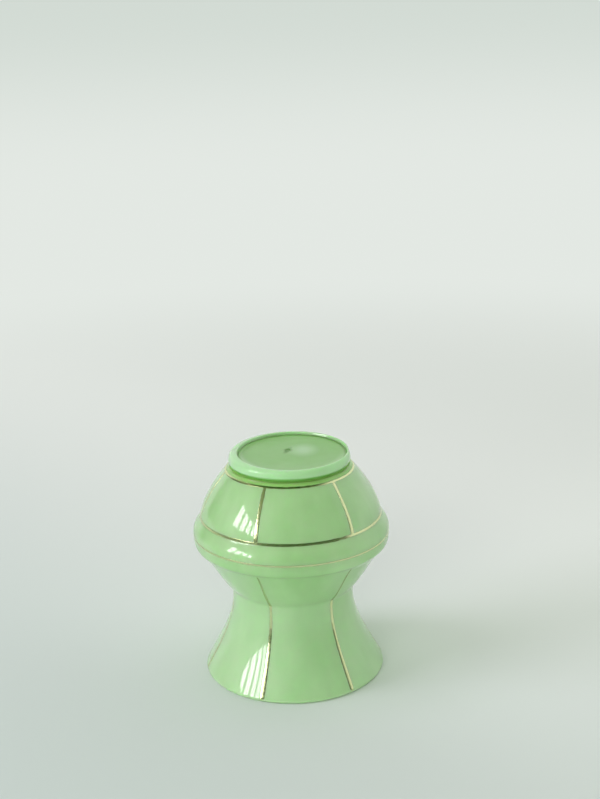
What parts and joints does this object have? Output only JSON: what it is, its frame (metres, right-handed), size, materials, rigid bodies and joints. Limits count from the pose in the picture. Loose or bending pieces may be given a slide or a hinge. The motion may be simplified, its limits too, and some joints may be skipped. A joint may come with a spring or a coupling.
{
  "type": "bell-shaped glass vase",
  "caption": "Footed blown glass vase with a flared mouth, pinched waist, belted bowl and painted gold lines, standing mouth down.",
  "frame": {"origin": "centre of the mouth's resting ring, on the surface that the vase stands on upside down", "axes": "+Z along the axis of the vase, from the mouth up to the foot; +X to the right and -Y towards the viewer"},
  "size_m": [0.1141, 0.1142, 0.133],
  "materials": {
    "jade_glass": "glossy translucent opaline",
    "pale_glass": "fire-polished opaline, thinner and paler",
    "deep_glass": "glossy opaline, thick and deeper green",
    "gold": "bright painted and fired gold, slightly worn"
  },
  "bodies": {
    "root": {"lip": "pale_glass", "neck": "jade_glass", "bowl": "jade_glass", "belt": "jade_glass", "dome": "jade_glass", "base": "jade_glass", "foot_plate": "deep_glass", "foot_bead": "pale_glass", "pontil_mark": "deep_glass", "gold_ring_low": "gold", "gold_ring_belt": "gold", "gold_ring_shoulder": "gold", "dome_stroke_1": "gold", "dome_stroke_2": "gold", "dome_stroke_3": "gold", "dome_stroke_4": "gold", "dome_stroke_5": "gold", "dome_stroke_6": "gold", "neck_stroke_1": "gold", "neck_stroke_2": "gold", "neck_stroke_3": "gold", "neck_stroke_4": "gold", "neck_stroke_5": "gold", "neck_stroke_6": "gold"}
  },
  "joints": []
}
